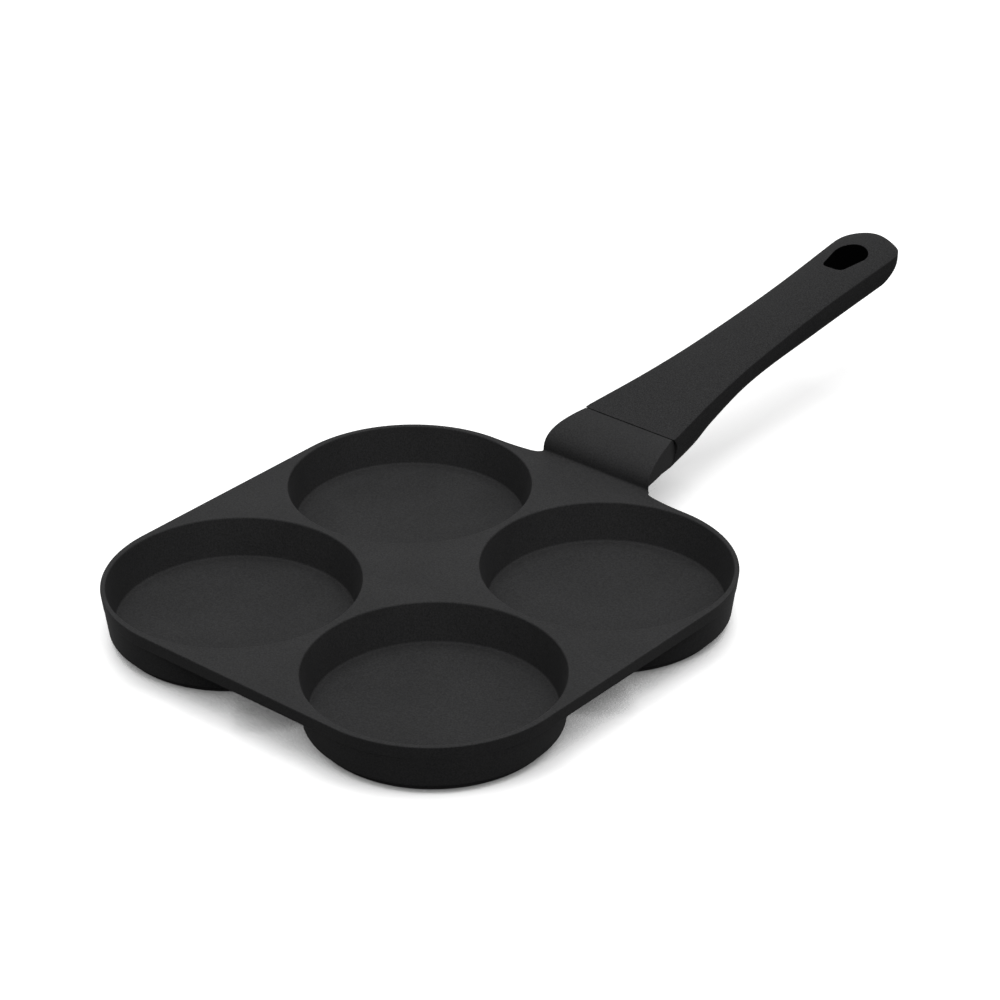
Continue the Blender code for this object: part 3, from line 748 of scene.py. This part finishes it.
# Camera: the photograph's viewpoint, found from the four rims and the deck's edges.
aim = Vector((-0.01447, 0.06677 + pan_y, deck_z))
distance = 1.3853
turn = math.radians(40.174)
height = math.radians(28.991)
roll = math.radians(-0.081)
back = Vector((
    math.sin(turn) * math.cos(height), -math.cos(turn) * math.cos(height), math.sin(height)))
rightward = (-back).cross(Vector((0, 0, 1))).normalized()
upward = rightward.cross(-back)
level = Matrix((
    rightward * math.cos(roll) + upward * math.sin(roll),
    -rightward * math.sin(roll) + upward * math.cos(roll),
    back,
)).transposed()
lens = bpy.data.cameras.new("viewpoint")
lens.lens = 118.16
lens.sensor_width = 36
lens.clip_end = 50
viewpoint = bpy.data.objects.new("viewpoint", lens)
viewpoint.matrix_world = Matrix.Translation(aim + back * distance) @ level.to_4x4()
bpy.context.scene.collection.objects.link(viewpoint)
bpy.context.scene.camera = viewpoint


# Floor: a wide pale sheet that keeps the pan's soft shadow and is white where the light is
# full. It lies a hair below the discs, so that the two faces don't fight.
floor_half = 6
hair = 0.00005
sheet = bmesh.new()
bmesh.ops.create_grid(sheet, x_segments=1, y_segments=1, size=floor_half)
floor_mesh = bpy.data.meshes.new("floor")
sheet.to_mesh(floor_mesh)
sheet.free()
floor_mesh.transform(Matrix.Translation((0, 0, -hair)))
ground = bpy.data.objects.new("floor", floor_mesh)
bpy.context.scene.collection.objects.link(ground)


def worked(tree, operation, first, second):
    """One step of arithmetic on two values."""
    return wired(tree, "ShaderNodeMath", {0: first, 1: second}, operation=operation).outputs[0]


def seen_rays(tree, mirrored_share):
    """1 for rays from the camera or through glass, and a share of 1 for mirrored ones."""
    rays = tree.nodes.new("ShaderNodeLightPath").outputs
    mirrored = worked(tree, "MULTIPLY", rays["Is Glossy Ray"], mirrored_share)
    seen = worked(tree, "MAXIMUM", rays["Is Camera Ray"], mirrored)
    return worked(tree, "MAXIMUM", seen, rays["Is Transmission Ray"])


# Close under the pan the sheet gets a painted shadow: its colour and its glow are darkened by how
# little open air it has above it.
paper, tree, shader, place = new_finish("pale_paper", 0.9, specular=0.0)
seen = seen_rays(tree, 0.4)
pale = two_tone(tree, seen, (0.05, 0.05, 0.05), (0.75, 0.75, 0.75))
near = wired(tree, "ShaderNodeAmbientOcclusion", {"Distance": 0.03}, samples=4)
open_air = ranged(tree, near.outputs["AO"], 0.04, 1.0, 0.16, 0.46, "SMOOTHSTEP")
# The painted shadow darkens the floor's colour here, and its glow below.
painted_shadow_pale = wired(tree, "ShaderNodeVectorMath", {0: pale, "Scale": open_air}, operation="SCALE")
lift = worked(tree, "MULTIPLY", seen, 0.60)
shader.inputs["Emission Color"].default_value = (1, 1, 1, 1)
tree.links.new(painted_shadow_pale.outputs["Vector"], shader.inputs["Base Color"])
tree.links.new(worked(tree, "MULTIPLY", lift, open_air), shader.inputs["Emission Strength"])
floor_mesh.materials.append(paper)


# Light: a soft box right above the pan and a broad pale wall behind the camera, in a dim room.
# Whatever looks past the pan sees a white backdrop.
wall_turn = math.radians(52)
wall_height = math.radians(40)
wall_focus = 3.0
to_wall = (math.sin(wall_turn) * math.cos(wall_height),
           -math.cos(wall_turn) * math.cos(wall_height), math.sin(wall_height))
world = bpy.data.worlds.new("studio")
bpy.context.scene.world = world
world.use_nodes = True
tree = world.node_tree
backdrop = tree.nodes["Background"]
backdrop.inputs["Color"].default_value = (1, 1, 1, 1)
direction = tree.nodes.new("ShaderNodeTexCoord").outputs["Generated"]
facing = wired(tree, "ShaderNodeVectorMath", {0: direction, 1: to_wall}, operation="DOT_PRODUCT")
ahead = worked(tree, "MAXIMUM", facing.outputs["Value"], 0.0)
steepness = wired(tree, "ShaderNodeSeparateXYZ", {0: direction}).outputs["Z"]
above = ranged(tree, steepness, 0.0, 1.8, 0.20, 0.50, "SMOOTHSTEP")
wall = worked(tree, "MULTIPLY", worked(tree, "POWER", ahead, wall_focus), above)
strength = ranged(tree, seen_rays(tree, 1.0), wall, 1.0)
tree.links.new(strength, backdrop.inputs["Strength"])
box = bpy.data.lights.new("soft_box", "AREA")
box.shape = "RECTANGLE"
box.size = 1.3
box.size_y = 1.3
box.energy = 16
soft_box = bpy.data.objects.new("soft_box", box)
soft_box.location = (-0.19, pan_y + 0.23, 1.5)
bpy.context.scene.collection.objects.link(soft_box)
bpy.context.scene.view_settings.view_transform = "Standard"
